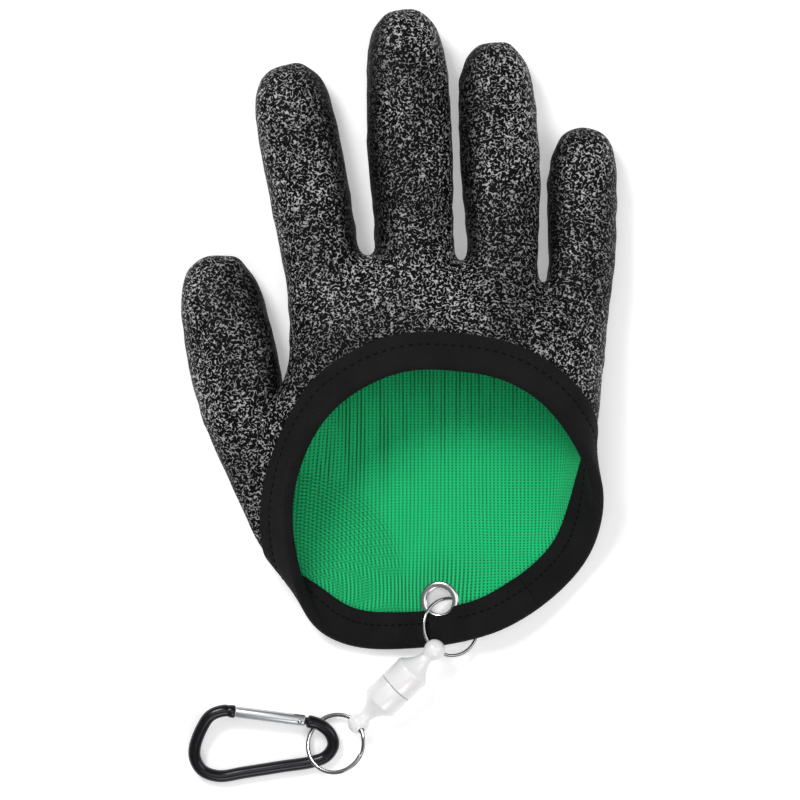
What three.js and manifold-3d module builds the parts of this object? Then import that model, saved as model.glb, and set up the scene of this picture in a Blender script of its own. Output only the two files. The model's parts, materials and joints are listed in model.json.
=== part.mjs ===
// A rubber-coated knitted fishing glove that lies on its palm with the mouth open, and the
// release clip, split ring and snap hook that hang from the eyelet in its rim.
// Millimetres, +Z up, fingers along +Y, thumb towards -X.
import * as THREE from "three";
import { mergeVertices } from "three/addons/utils/BufferGeometryUtils.js";
import Module from "manifold-3d";

const wasm = await Module();
wasm.setup();

// Driving dimensions of the glove
const palmWidth = 113;
const palmLength = 130;
const palmThickness = 34;
const mouthWidth = 106;
const mouthLength = 95;
const mouthHeight = 37;
const mouthOffset = { x: 15, y: -38.3 };
const coatingWall = 1.0;
const linerWall = 0.9;
const layerGap = 0.3;

// Each finger, index to little: where its root and tip are from the middle of the palm, and its
// size at the root
const fingers = [
  { root: [-27.2, 52], tip: [-39.4, 112.4], width: 28.4, thickness: 24 },
  { root: [5.1, 52], tip: [1.5, 131.4], width: 29.5, thickness: 25 },
  { root: [35.8, 48], tip: [31.6, 120.5], width: 27.4, thickness: 24 },
  { root: [61.4, 43], tip: [62.4, 90.4], width: 23.6, thickness: 22 },
];
const thumb = { tip: [-61.9, 50.5], thickness: 25 };

// Driving dimensions of the rim and of what hangs from it. The eyelet's place is measured from
// the edge of the binding, the ring's from the eyelet, the clip's from the ring, and so on.
const bindingThickness = 0.8;
const eyelet = { flange: 13.4, hole: 8.8, barrel: 0.5, plate: 0.5, inset: 2.4, height: 4, turn: 14 };
const gloveRing = { outer: 20.8, wire: 1.1 };
const ringHold = { across: 3.2, along: -9, rise: 0.8, slopeAcross: -0.39, slopeAlong: -0.185 };
const clip = { body: 12.6, bodyLength: 17, ball: 7.3, neck: 4.4, ballSpacing: 36.6 };
const clipHold = { around: 230, inset: 0.4, bore: 2.2, height: 9.8, heading: 224.4 };
const splitRing = { outer: 21.4, wire: 1.3, band: 0.6, coilGap: 0.08 };
const splitHold = { across: -8.1, along: -7.2, height: 5.85, slopeAcross: 0.35, slopeAlong: -0.332 };
const hook = { rod: 4.2, length: 51.5, width: 26.8, gateRod: 3.9, turn: 9, lift: 10 };
const hookHold = { across: -8.282, along: -12.501 };
const tongue = { thickness: 1.2, height: 2.6, reach: 1.3 };
const pin = { diameter: 1.1, short: 0.1 };
const seam = 0.3;
const clearance = 0.3;
const floorGap = 0.05;

// A point across the palm, along it and above the floor, from shares of the palm's sizes
const palmPoint = ([across, along, up]) =>
  new THREE.Vector3(across * palmWidth, along * palmLength, up * palmThickness);

// The same from shares of the mouth's sizes, about the middle of the mouth
const mouthPoint = ([across, along, up]) =>
  new THREE.Vector3(
    mouthOffset.x + across * mouthWidth,
    mouthOffset.y + along * mouthLength,
    up * mouthHeight,
  );

// Rows round the palm, from the knuckles to the rim. Each has 18 columns: the thumb side, eight
// over the back, the little finger's side, and eight over the palm back to the thumb side.
const side = 0;
const farSide = 9;
const columns = 18;
const palmRows = [
  [
    [-0.357, 0.328, 0.35], [-0.299, 0.297, 0.69], [-0.155, 0.3, 0.75], [-0.026, 0.305, 0.78],
    [0.116, 0.3, 0.79], [0.248, 0.281, 0.78], [0.375, 0.26, 0.75], [0.483, 0.237, 0.71],
    [0.597, 0.237, 0.59], [0.645, 0.271, 0.35], [0.597, 0.237, 0.02], [0.483, 0.237, 0],
    [0.375, 0.26, 0], [0.248, 0.281, 0], [0.116, 0.3, 0], [-0.026, 0.305, 0],
    [-0.155, 0.3, 0], [-0.299, 0.297, 0.02],
  ],
  [
    [-0.339, 0.198, 0.37], [-0.299, 0.208, 0.74], [-0.161, 0.229, 0.84], [-0.023, 0.242, 0.9],
    [0.122, 0.242, 0.93], [0.248, 0.231, 0.91], [0.375, 0.208, 0.87], [0.495, 0.177, 0.79],
    [0.597, 0.166, 0.62], [0.63, 0.166, 0.37], [0.579, 0.145, 0.03], [0.483, 0.127, 0],
    [0.375, 0.127, 0], [0.248, 0.127, 0], [0.122, 0.127, 0], [-0.023, 0.127, 0],
    [-0.161, 0.127, 0], [-0.29, 0.127, 0.03],
  ],
  [
    [-0.323, -0.001, 0.38], [-0.369, -0.038, 0.72], [-0.266, 0.109, 0.85], [-0.143, 0.182, 0.93],
    [-0.005, 0.208, 0.97], [0.149, 0.216, 1], [0.326, 0.196, 0.97], [0.489, 0.136, 0.87],
    [0.585, 0.069, 0.65], [0.615, 0.056, 0.38], [0.558, -0.017, 0.03], [0.468, -0.122, 0],
    [0.351, -0.161, 0], [0.239, -0.174, 0], [0.125, -0.174, 0], [0.008, -0.169, 0],
    [-0.125, -0.148, 0], [-0.263, -0.096, 0.03],
  ],
];
const thumbRow = [
  [-0.656, -0.079, 0.3], [-0.702, 0.021, 0.49], [-0.548, 0.246, 0.67], [-0.368, 0.571, 0.84],
  [-0.178, 0.659, 0.93], [0.014, 0.669, 0.96], [0.22, 0.64, 0.92], [0.404, 0.525, 0.8],
  [0.484, 0.386, 0.62], [0.497, 0.307, 0.38], [0.42, 0.129, 0.05], [0.336, -0.05, 0.01],
  [0.23, -0.157, 0], [0.114, -0.221, 0.02], [-0.008, -0.236, 0.01], [-0.127, -0.243, 0],
  [-0.256, -0.236, 0], [-0.391, -0.193, 0.02],
];
const bandRow = [
  [-0.57, -0.275, 0.2], [-0.605, -0.107, 0.36], [-0.561, 0.136, 0.56], [-0.423, 0.479, 0.81],
  [-0.191, 0.614, 0.92], [0.014, 0.636, 0.96], [0.217, 0.604, 0.92], [0.394, 0.482, 0.81],
  [0.465, 0.325, 0.63], [0.481, 0.207, 0.41], [0.413, -0.014, 0.14], [0.339, -0.146, 0.06],
  [0.236, -0.257, 0.12], [0.114, -0.336, 0.19], [-0.008, -0.359, 0.12], [-0.127, -0.382, 0.05],
  [-0.246, -0.375, 0.045], [-0.345, -0.335, 0.07],
];
const rimRow = [
  [-0.449, -0.357, 0.3], [-0.5, -0.107, 0.6], [-0.488, 0.11, 0.79], [-0.38, 0.346, 0.91],
  [-0.166, 0.489, 0.98], [0.011, 0.5, 1], [0.182, 0.471, 0.97], [0.333, 0.371, 0.87],
  [0.449, 0.2, 0.7], [0.5, 0.061, 0.46], [0.487, -0.086, 0.24], [0.43, -0.217, 0.11],
  [0.313, -0.342, 0.14], [0.172, -0.432, 0.2], [0.011, -0.482, 0.12], [-0.124, -0.498, 0.055],
  [-0.253, -0.496, 0.05], [-0.365, -0.457, 0.12],
];

// Sections up a finger: the share of its length, of its width and of its thickness
const fingerSections = [
  { along: 0.22, width: 1.06, thickness: 0.95 },
  { along: 0.56, width: 1.08, thickness: 0.94 },
  { along: 0.83, width: 0.98, thickness: 0.86 },
  { along: 0.96, width: 0.6, thickness: 0.58 },
];

// Sections up the thumb, from points on its outer side to points on its inner side, in shares of
// the palm's width and length
const thumbSections = [
  { outer: [-0.588, -0.14], inner: [-0.335, 0.035], thickness: 0.95 },
  { outer: [-0.65, 0.07], inner: [-0.352, 0.11], thickness: 0.95 },
  { outer: [-0.67, 0.235], inner: [-0.394, 0.235], thickness: 0.88 },
  { outer: [-0.645, 0.335], inner: [-0.448, 0.335], thickness: 0.62 },
];

// A coarse cage of four-sided faces is built first, from points that the glove passes through
const cage = { points: [], faces: [] };
const addPoint = (p) => cage.points.push(p) - 1;
const addFace = (...corners) => cage.faces.push(corners);

// One section of a finger or the thumb: outer side, two over the top, inner side, two beneath
const sectionShape = [
  [-1, 0.5], [-0.55, 0.94], [0.55, 0.94], [1, 0.5], [0.58, 0], [-0.58, 0],
];
function sectionPoints(middle, halfAcross, thickness, lift) {
  return sectionShape.map(([across, up]) =>
    addPoint(
      new THREE.Vector3(
        middle.x + across * halfAcross.x,
        middle.y + across * halfAcross.y,
        lift + up * thickness,
      ),
    ),
  );
}

function joinSections(a, b) {
  a.forEach((_, i) => {
    const j = (i + 1) % a.length;
    addFace(a[j], a[i], b[i], b[j]);
  });
}

function closeTip(section, tip) {
  section.forEach((_, i) => addFace(section[i], section[(i + 1) % section.length], tip));
}

const rows = [...palmRows.map((row) => row.map(palmPoint)), thumbRow.map(mouthPoint)];
rows.push(bandRow.map(mouthPoint), rimRow.map(mouthPoint));
const rowIds = rows.map((row) => row.map(addPoint));
const [thumbStart, bandIndex, rimIndex] = [2, 4, 5];

// The webs between two fingers, as shares of the palm
const webs = [[-0.092, 0.368], [0.188, 0.347], [0.425, 0.272]];
const webHalf = 0.014;
const webHeight = 0.36;
const webIds = webs.map(([across, along]) =>
  [-webHalf, webHalf].map((s) => addPoint(palmPoint([across + s, along, webHeight]))),
);

fingers.forEach((finger, f) => {
  const knuckles = rowIds[0];
  const left = f === 0 ? knuckles[side] : webIds[f - 1][1];
  const right = f === fingers.length - 1 ? knuckles[farSide] : webIds[f][0];
  const [topLeft, bottomLeft] = [knuckles[1 + 2 * f], knuckles[17 - 2 * f]];
  const [topRight, bottomRight] = [knuckles[2 + 2 * f], knuckles[16 - 2 * f]];
  let last = [left, topLeft, topRight, right, bottomRight, bottomLeft];
  if (f > 0) {
    const [webLeft, webRight] = webIds[f - 1];
    addFace(knuckles[2 * f], knuckles[1 + 2 * f], webRight, webLeft);
    addFace(knuckles[17 - 2 * f], knuckles[18 - 2 * f], webLeft, webRight);
  }
  const root = new THREE.Vector3(...finger.root, 0);
  const tip = new THREE.Vector3(...finger.tip, 0);
  const axis = tip.clone().sub(root).normalize();
  for (const s of fingerSections) {
    const middle = root.clone().lerp(tip, s.along);
    const half = new THREE.Vector3(axis.y, -axis.x, 0).multiplyScalar((s.width * finger.width) / 2);
    const thick = s.thickness * finger.thickness;
    const section = sectionPoints(middle, half, thick, (s.along ** 3 * (finger.thickness - thick)) / 3);
    joinSections(section, last);
    last = section;
  }
  closeTip(last, addPoint(tip.setZ(0.42 * finger.thickness)));
});

{
  const [near, far] = [rowIds[thumbStart], rowIds[thumbStart + 1]];
  let last = [far[0], far[1], near[1], near[0], near[17], far[17]];
  for (const s of thumbSections) {
    const outer = new THREE.Vector3(s.outer[0] * palmWidth, s.outer[1] * palmLength, 0);
    const inner = new THREE.Vector3(s.inner[0] * palmWidth, s.inner[1] * palmLength, 0);
    const middle = outer.clone().add(inner).divideScalar(2);
    const thick = s.thickness * thumb.thickness;
    const section = sectionPoints(middle, inner.sub(middle), thick, (thumb.thickness - thick) / 6);
    joinSections(section, last);
    last = section;
  }
  const tip = new THREE.Vector3(...thumb.tip, 0.42 * thumb.thickness);
  closeTip(last, addPoint(tip));
}

rowIds.slice(1).forEach((row, r) =>
  row.forEach((_, c) => {
    const next = (c + 1) % columns;
    if (r === thumbStart && (c === side || c === columns - 1)) return;
    addFace(rowIds[r][c], row[c], row[next], rowIds[r][next]);
  }),
);

// One step of Catmull-Clark subdivision: a point in each face, one on each edge, and each corner
// moved to the mean of its neighbours. Open edges follow a cubic curve.
function subdivide({ points, faces }) {
  const edges = new Map();
  const edgeKey = (a, b) => (a < b ? a + "_" + b : b + "_" + a);
  const facePoints = faces.map((face) =>
    face.reduce((sum, i) => sum.add(points[i]), new THREE.Vector3()).divideScalar(face.length),
  );
  faces.forEach((face, f) =>
    face.forEach((a, i) => {
      const b = face[(i + 1) % face.length];
      const key = edgeKey(a, b);
      if (!edges.has(key)) edges.set(key, { a, b, faces: [] });
      edges.get(key).faces.push(f);
    }),
  );
  const around = points.map(() => ({ faces: new THREE.Vector3(), mids: new THREE.Vector3(), n: 0 }));
  const rim = points.map(() => []);
  faces.forEach((face, f) => face.forEach((i) => around[i].faces.add(facePoints[f])));
  for (const { a, b, faces: two } of edges.values()) {
    const mid = points[a].clone().add(points[b]).divideScalar(2);
    for (const i of [a, b]) {
      around[i].mids.add(mid);
      around[i].n += 1;
      if (two.length === 1) rim[i].push(mid);
    }
  }
  const made = points.map((p, i) => {
    if (rim[i].length) return p.clone().multiplyScalar(2).add(rim[i][0]).add(rim[i][1]).divideScalar(4);
    const { n, faces: sum, mids } = around[i];
    return sum
      .divideScalar(n * n)
      .addScaledVector(mids, 2 / (n * n))
      .addScaledVector(p, (n - 3) / n);
  });
  const edgeIds = new Map();
  for (const [key, { a, b, faces: two }] of edges) {
    const p = points[a].clone().add(points[b]);
    two.forEach((f) => two.length === 2 && p.add(facePoints[f]));
    edgeIds.set(key, made.push(p.divideScalar(two.length === 2 ? 4 : 2)) - 1);
  }
  const faceStart = made.length;
  made.push(...facePoints);
  const quads = [];
  faces.forEach((face, f) =>
    face.forEach((a, i) => {
      const before = face[(i + face.length - 1) % face.length];
      const after = face[(i + 1) % face.length];
      quads.push([faceStart + f, edgeIds.get(edgeKey(before, a)), a, edgeIds.get(edgeKey(a, after))]);
    }),
  );
  return { points: made, faces: quads, faceStart, edgeId: (a, b) => edgeIds.get(edgeKey(a, b)) };
}

// The cage is drawn outwards until the smooth skin passes through the points of the tables
function fitCage({ points, faces }, turns) {
  let fitted = points.map((p) => p.clone());
  for (let turn = 0; turn < turns; turn += 1) {
    const skin = subdivide({ points: fitted, faces }).points;
    fitted = fitted.map((p, i) => p.clone().add(points[i]).sub(skin[i]));
  }
  return { points: fitted, faces };
}

const skin = subdivide(fitCage(cage, 1));

// The points on the skin along the rim, halfway up the band and along the band's edge
const loopOf = (row) =>
  rowIds[row].flatMap((id, c) => [id, skin.edgeId(id, rowIds[row][(c + 1) % columns])]);
const rimLoop = loopOf(rimIndex);
const bandLoop = loopOf(bandIndex);

// The way out from each point: the mean of the normals of the faces round it, lengthened so that
// the faces themselves move by one unit
const sharpest = 0.6;
function pointNormals({ points, faces }) {
  const sums = points.map(() => new THREE.Vector3());
  const normals = faces.map(([a, b, c, d]) =>
    points[c].clone().sub(points[a]).cross(points[d].clone().sub(points[b])).normalize(),
  );
  faces.forEach((face, f) => face.forEach((i) => sums[i].add(normals[f])));
  sums.forEach((n) => n.normalize());
  const shares = points.map(() => []);
  faces.forEach((face, f) => face.forEach((i) => shares[i].push(normals[f].dot(sums[i]))));
  return sums.map((n, i) => n.divideScalar(Math.max(Math.min(...shares[i]), sharpest)));
}

// Creases are eased: a point where the faces turn sharply moves towards the mean of its
// neighbours, by as much as they turn. The rim stays where it is.
const creaseRounds = 14;
const creaseShare = 0.6;
function easeCreases({ points, faces }, fixed) {
  const near = points.map(() => new Set());
  for (const [a, b, c, d] of faces) {
    for (const [i, j] of [[a, b], [b, c], [c, d], [d, a]]) {
      near[i].add(j);
      near[j].add(i);
    }
  }
  for (let round = 0; round < creaseRounds; round += 1) {
    const sharpness = pointNormals({ points, faces }).map((n) => n.length() - 1);
    const moved = points.map((p, i) => {
      if (fixed.has(i)) return p;
      const mean = [...near[i]].reduce((sum, j) => sum.add(points[j]), new THREE.Vector3());
      const share = Math.min(1, 3 * sharpness[i]) * creaseShare;
      return p.clone().lerp(mean.divideScalar(near[i].size), share);
    });
    moved.forEach((p, i) => points[i].copy(p));
  }
}
easeCreases(skin, new Set(loopOf(rimIndex)));

// The cloth lies flat round the eyelet, whose plane turns up on the little finger's side
const eyeletColumn = 14;
const eyeletPlace = skin.points[rowIds[bandIndex][eyeletColumn]].clone();
eyeletPlace.y += eyelet.inset;
eyeletPlace.z = eyelet.height;
const eyeletTurn = THREE.MathUtils.degToRad(eyelet.turn);
const flatReach = { full: 1.5 * (eyelet.flange / 2), none: 3.4 * (eyelet.flange / 2) };
const firstBandFace = skin.faceStart + cage.faces.length - columns;
const middleLoop = rowIds[rimIndex].flatMap((id, c) => [
  skin.edgeId(rowIds[bandIndex][c], id),
  firstBandFace + c,
]);
const onBand = new Set([...rimLoop, ...middleLoop, ...bandLoop]);
const bandFloor = clearance + bindingThickness + 3 * floorGap;
skin.points.forEach((p, i) => {
  const lowest = onBand.has(i) ? bandFloor : floorGap;
  const away = p.distanceTo(eyeletPlace);
  const share = THREE.MathUtils.smoothstep(flatReach.none - away, 0, flatReach.none - flatReach.full);
  const flat = eyeletPlace.z + (p.x - eyeletPlace.x) * Math.tan(eyeletTurn);
  p.z = Math.max(THREE.MathUtils.lerp(p.z, flat, share), lowest);
});
const skinNormals = pointNormals(skin);
const offsetPoint = (i, depth) => skin.points[i].clone().addScaledVector(skinNormals[i], -depth);

// A mesh of triangles from points and faces of any number of corners
function meshGeometry(points, faces) {
  const index = faces.flatMap((face) => face.slice(2).flatMap((c, i) => [face[0], face[i + 1], c]));
  return new THREE.BufferGeometry()
    .setAttribute("position", new THREE.Float32BufferAttribute(points.flatMap((p) => [...p]), 3))
    .setIndex(index);
}

// A shell between two depths under the skin, closed along the rim
function shellGeometry(outerDepth, innerDepth) {
  const count = skin.points.length;
  const points = [outerDepth, innerDepth].flatMap((depth) =>
    skin.points.map((_, i) => offsetPoint(i, depth)),
  );
  const faces = [...skin.faces, ...skin.faces.map((f) => f.map((i) => i + count).reverse())];
  rimLoop.forEach((a, i) => {
    const b = rimLoop[(i + 1) % rimLoop.length];
    faces.push([b, a, a + count, b + count]);
  });
  return meshGeometry(points, faces);
}

// Joining and cutting
function toSolid(geometry) {
  const bare = geometry.index ? geometry.toNonIndexed() : geometry.clone();
  bare.deleteAttribute("normal");
  bare.deleteAttribute("uv");
  const merged = mergeVertices(bare, 1e-4);
  return new wasm.Manifold(
    new wasm.Mesh({
      numProp: 3,
      vertProperties: merged.attributes.position.array,
      triVerts: new Uint32Array(merged.index.array),
    }),
  );
}
function toGeometry(solid) {
  const { vertProperties, triVerts } = solid.getMesh();
  return new THREE.BufferGeometry()
    .setAttribute("position", new THREE.BufferAttribute(vertProperties, 3))
    .setIndex(new THREE.BufferAttribute(triVerts, 1));
}
const sliver = 0.01;
const largestBody = (solid) =>
  solid.decompose().sort((a, b) => b.volume() - a.volume())[0].simplify(sliver);
const placed = (geometry, matrix) => geometry.clone().applyMatrix4(matrix);
const cylinder = (radius, length, sides) => new THREE.CylinderGeometry(radius, radius, length, sides);

// A closed ring about the Y axis: a round wire, or a flat one with its own half sizes
function ringGeometry(radius, halfAcross, halfAlong, sides, steps) {
  const profile = Array.from({ length: sides + 1 }, (_, i) => {
    const angle = (2 * Math.PI * (i % sides)) / sides;
    return new THREE.Vector2(radius + halfAcross * Math.cos(angle), halfAlong * Math.sin(angle));
  });
  return new THREE.LatheGeometry(profile, steps);
}

// A turned shape about the Y axis from radius and height pairs, which starts and ends on the axis
const turnedGeometry = (profile, steps) =>
  new THREE.LatheGeometry(profile.map(([r, y]) => new THREE.Vector2(r, y)), steps);

// Shells, and the binding folded over both of them
const wall = coatingWall + layerGap + linerWall;
const upright = new THREE.Matrix4().makeRotationX(Math.PI / 2);
const eyeletFrame = new THREE.Matrix4()
  .makeTranslation(eyeletPlace)
  .multiply(new THREE.Matrix4().makeRotationY(-eyeletTurn))
  .multiply(upright);
const holeSides = 16;
const boreLength = 20;
const eyeletBore = toSolid(
  placed(cylinder(eyelet.hole / 2 + eyelet.barrel + clearance, boreLength, holeSides), eyeletFrame),
);
const coatingSolid = toSolid(shellGeometry(0, coatingWall)).subtract(eyeletBore);
const coatingRoom = toSolid(shellGeometry(-coatingWall, coatingWall + layerGap)).add(coatingSolid);
const linerSolid = largestBody(
  toSolid(shellGeometry(coatingWall + layerGap, wall)).subtract(coatingRoom).subtract(eyeletBore),
);

function bindingGeometry() {
  const [near, far] = [clearance, clearance + bindingThickness];
  const points = rimLoop.flatMap((rimId, k) => {
    const [bandId, middleId] = [bandLoop[k], middleLoop[k]];
    const outwards = skin.points[rimId].clone().sub(skin.points[middleId]).normalize();
    const past = (depth, reach) => offsetPoint(rimId, depth).addScaledVector(outwards, reach);
    return [
      offsetPoint(bandId, -far), offsetPoint(middleId, -far), offsetPoint(rimId, -far),
      past(-near / 2, far), past(wall + near / 2, far),
      offsetPoint(rimId, wall + far), offsetPoint(middleId, wall + far),
      offsetPoint(bandId, wall + far), offsetPoint(bandId, wall + near),
      offsetPoint(middleId, wall + near), past(wall + near, near), past(-near, near),
      offsetPoint(middleId, -near), offsetPoint(bandId, -near),
    ];
  });
  // Each face is split from the same corner as the skin's face under it, halfway up the band
  const around = rimLoop.length;
  const corners = points.length / around;
  const halfway = new Set([1, 6, 9, 12]);
  const faces = [];
  for (let k = 0; k < around; k += 1) {
    for (let i = 0; i < corners; i += 1) {
      const [j, next] = [(i + 1) % corners, (k + 1) % around];
      const face = [[k, i], [k, j], [next, j], [next, i]];
      const first = Math.max(0, face.findIndex(([s, c]) => s % 2 === 1 && halfway.has(c)));
      faces.push([0, 1, 2, 3].map((m) => face[(first + m) % 4]).map(([s, c]) => s * corners + c));
    }
  }
  return meshGeometry(points, faces);
}
const flangeBore = toSolid(
  placed(cylinder(eyelet.flange / 2 + clearance, boreLength, holeSides), eyeletFrame),
);
const shellRoom = toSolid(shellGeometry(2 * sliver - clearance, wall + clearance - 2 * sliver))
  .add(coatingSolid)
  .add(linerSolid);
const bindingSolid = largestBody(
  toSolid(bindingGeometry()).subtract(shellRoom).subtract(flangeBore),
);

// The eyelet: a barrel with a rolled flange on each side of the cloth
function eyeletGeometry() {
  const [inner, outer] = [eyelet.hole / 2, eyelet.hole / 2 + eyelet.barrel];
  const [rim, thick] = [eyelet.flange / 2, eyelet.plate];
  const [low, high] = [-clearance - thick, wall + clearance + thick];
  const bevel = thick / 2;
  const profile = [
    [inner, low + bevel], [inner + bevel, low], [rim - bevel, low], [rim, low + thick],
    [outer, low + thick], [outer, high - thick], [rim, high - thick], [rim - bevel, high],
    [inner + bevel, high], [inner, high - bevel], [inner, low + bevel],
  ];
  return turnedGeometry(profile, holeSides);
}

const glove = new THREE.Group();
function addPiece(parent, name, geometry, color, roughness, metalness) {
  const mesh = new THREE.Mesh(
    geometry,
    new THREE.MeshStandardMaterial({ color, roughness, metalness }),
  );
  mesh.name = name;
  parent.add(mesh);
  return mesh;
}
addPiece(glove, "latex_coating", toGeometry(coatingSolid), 0x2a2a2c, 0.8, 0);
addPiece(glove, "knit_liner", toGeometry(linerSolid), 0x14be6e, 0.9, 0);
addPiece(glove, "rim_binding", toGeometry(bindingSolid), 0x1c1c1e, 0.85, 0);
addPiece(glove, "eyelet", placed(eyeletGeometry(), eyeletFrame), 0xc8c8cc, 0.25, 1);

// The steel ring through the eyelet: it lies over the binding on the thumb side and comes up
// from under it on the other
const ringRadius = (gloveRing.outer - gloveRing.wire) / 2;
const slantedPlane = (place, { slopeAcross, slopeAlong }) =>
  new THREE.Matrix4()
    .lookAt(
      new THREE.Vector3(-slopeAcross, -slopeAlong, 1),
      new THREE.Vector3(),
      new THREE.Vector3(0, 1, 0),
    )
    .setPosition(place);
const ringPlane = slantedPlane(
  eyeletPlace.clone().add(new THREE.Vector3(ringHold.across, ringHold.along, ringHold.rise)),
  ringHold,
);
const [wireSides, wireSteps] = [6, 22];
const wireRing = (half) =>
  placed(
    ringGeometry(ringRadius, half, half, wireSides, wireSteps),
    ringPlane.clone().multiply(upright),
  );
addPiece(glove, "glove_ring", wireRing(gloveRing.wire / 2), 0xb9bbc0, 0.2, 1);

// Each half of the release clip, turned about its own length from its ball to the seam
const clipMiddle = clip.ballSpacing / 2;
const clipSides = 12;
function clipHalfGeometry() {
  const [ball, neck, body] = [clip.ball / 2, clip.neck / 2, clip.body / 2];
  const bodyStart = clipMiddle - clip.bodyLength / 2;
  const neckAt = Math.acos(neck / ball);
  const ballSteps = 6;
  const ballArc = Array.from({ length: ballSteps + 1 }, (_, i) => {
    const angle = -Math.PI / 2 + ((Math.PI / 2 + neckAt) * i) / ballSteps;
    return [i ? ball * Math.cos(angle) : 0, ball * Math.sin(angle)];
  });
  const flare = bodyStart - ball;
  return turnedGeometry(
    [
      ...ballArc,
      [neck, ball + 0.3 * flare],
      [neck + 0.14 * (body - neck), ball + 0.62 * flare],
      [neck + 0.42 * (body - neck), ball + 0.86 * flare],
      [body - seam, bodyStart],
      [body, bodyStart + 2 * seam],
      [body, clipMiddle - 1.5 * seam],
      [body - seam, clipMiddle - seam / 2],
      [0, clipMiddle - seam / 2],
    ],
    clipSides,
  );
}
const heading = THREE.MathUtils.degToRad(clipHold.heading);
const aroundRing = THREE.MathUtils.degToRad(clipHold.around);
const upperBall = new THREE.Vector3(Math.cos(aroundRing), Math.sin(aroundRing), 0)
  .multiplyScalar(ringRadius - clipHold.inset)
  .applyMatrix4(ringPlane);
upperBall.z = clipHold.height;

// Its upper ball lies on the binding and the far edge of its body on the floor
const clipReach = (clip.ballSpacing + clip.bodyLength) / 2;
const pitch = Math.asin((clipHold.height - clip.body / 2 - floorGap) / clipReach);
const clipWay = new THREE.Vector3(
  Math.cos(heading) * Math.cos(pitch),
  Math.sin(heading) * Math.cos(pitch),
  -Math.sin(pitch),
);
const lowerBall = upperBall.clone().addScaledVector(clipWay, clip.ballSpacing);
const clipTurn = (way, place) =>
  new THREE.Matrix4()
    .makeRotationFromQuaternion(
      new THREE.Quaternion().setFromUnitVectors(new THREE.Vector3(0, 1, 0), way),
    )
    .setPosition(place);
const upperHalf = toSolid(placed(clipHalfGeometry(), clipTurn(clipWay, upperBall)));
const upperClip = upperHalf.subtract(toSolid(wireRing(clipHold.bore / 2)));
addPiece(glove, "clip_upper", toGeometry(upperClip), 0xf0eff2, 0.35, 0);

// The split ring: a flat wire of nearly two turns that steps from the lower coil to the upper
const splitRadius = (splitRing.outer - splitRing.wire) / 2;
const splitPlane = slantedPlane(
  new THREE.Vector3(
    lowerBall.x + splitHold.across,
    lowerBall.y + splitHold.along,
    splitHold.height,
  ),
  splitHold,
);
const splitPitch = splitRing.band + splitRing.coilGap;
const [splitSteps, stepHalf, endRoom] = [38, 0.3, 0.05];
class SplitRingCurve extends THREE.Curve {
  getPoint(t, target = new THREE.Vector3()) {
    const angle = stepHalf + endRoom + t * (4 * Math.PI - 2 * (stepHalf + endRoom));
    const rise = THREE.MathUtils.smoothstep(angle, 2 * Math.PI - stepHalf, 2 * Math.PI + stepHalf);
    return target.set(
      splitRadius * Math.cos(angle),
      splitRadius * Math.sin(angle),
      (rise - 0.5) * splitPitch,
    );
  }
}
const splitSection = new THREE.Shape(
  [[-0.5, -0.3], [0, -0.5], [0.5, -0.3], [0.5, 0.3], [0, 0.5], [-0.5, 0.3]].map(
    ([x, y]) => new THREE.Vector2(x * splitRing.band, y * splitRing.wire),
  ),
);
const splitGeometry = new THREE.ExtrudeGeometry(splitSection, {
  steps: splitSteps,
  extrudePath: new SplitRingCurve(),
});
addPiece(glove, "split_ring", placed(splitGeometry, splitPlane), 0x9a9ca2, 0.2, 1);
const lowerBore = toSolid(
  placed(
    ringGeometry(
      splitRadius,
      splitRing.wire / 2 + clearance,
      splitPitch + clearance,
      wireSides,
      splitSteps,
    ),
    splitPlane.clone().multiply(upright),
  ),
);
const lowerHalf = toSolid(
  placed(clipHalfGeometry(), clipTurn(clipWay.clone().negate(), lowerBall)),
);
addPiece(glove, "clip_lower", toGeometry(lowerHalf.subtract(lowerBore)), 0xf0eff2, 0.35, 0);

// The snap hook, in its own flat frame: X along its straight bar, Y towards its gate. It is placed
// by the end that the split ring holds.
const hookGroup = new THREE.Group();
const [hookTurn, hookLift] = [hook.turn, hook.lift].map(THREE.MathUtils.degToRad);
const barLength = hook.length - hook.rod;
hookGroup.position.set(
  lowerBall.x + hookHold.across - barLength * Math.cos(hookTurn),
  lowerBall.y + hookHold.along - barLength * Math.sin(hookTurn),
  hook.rod / 2 + floorGap,
);
hookGroup.rotation.set(hookLift, 0, hookTurn, "ZYX");
glove.add(hookGroup);
const hookPoint = ([x, y]) =>
  new THREE.Vector3(x * barLength, y * (hook.width - hook.rod), 0);
const hookRoute = [
  [0.343, 0.955], [0.259, 1], [0.161, 0.956], [0.083, 0.784], [0.01, 0.502], [0, 0.323],
  [0.04, 0.127], [0.147, 0.006], [0.336, 0], [0.6, 0], [0.838, 0], [0.937, 0.05], [1, 0.205],
  [0.991, 0.391], [0.925, 0.558], [0.843, 0.64],
].map(hookPoint);
const [hookSides, hookSteps, gateSides] = [8, 32, 14];
const rodSection = new THREE.Shape(
  Array.from({ length: hookSides }, (_, i) => {
    const angle = (2 * Math.PI * i) / hookSides;
    return new THREE.Vector2((hook.rod / 2) * Math.cos(angle), (hook.rod / 2) * Math.sin(angle));
  }),
);
const hookRod = new THREE.ExtrudeGeometry(rodSection, {
  steps: hookSteps,
  extrudePath: new THREE.CatmullRomCurve3(hookRoute, false, "centripetal"),
});
const [noseEnd, hingeEnd] = [hookRoute[0], hookRoute[hookRoute.length - 1]];
const gateWay = hingeEnd.clone().sub(noseEnd).normalize();
const gateAngle = Math.atan2(gateWay.y, gateWay.x);
const pinPlace = hingeEnd.clone().addScaledVector(gateWay, -hook.gateRod / 2 - 2 * clearance);
const gateStart = noseEnd.clone().addScaledVector(gateWay, 2 * clearance);
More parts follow.
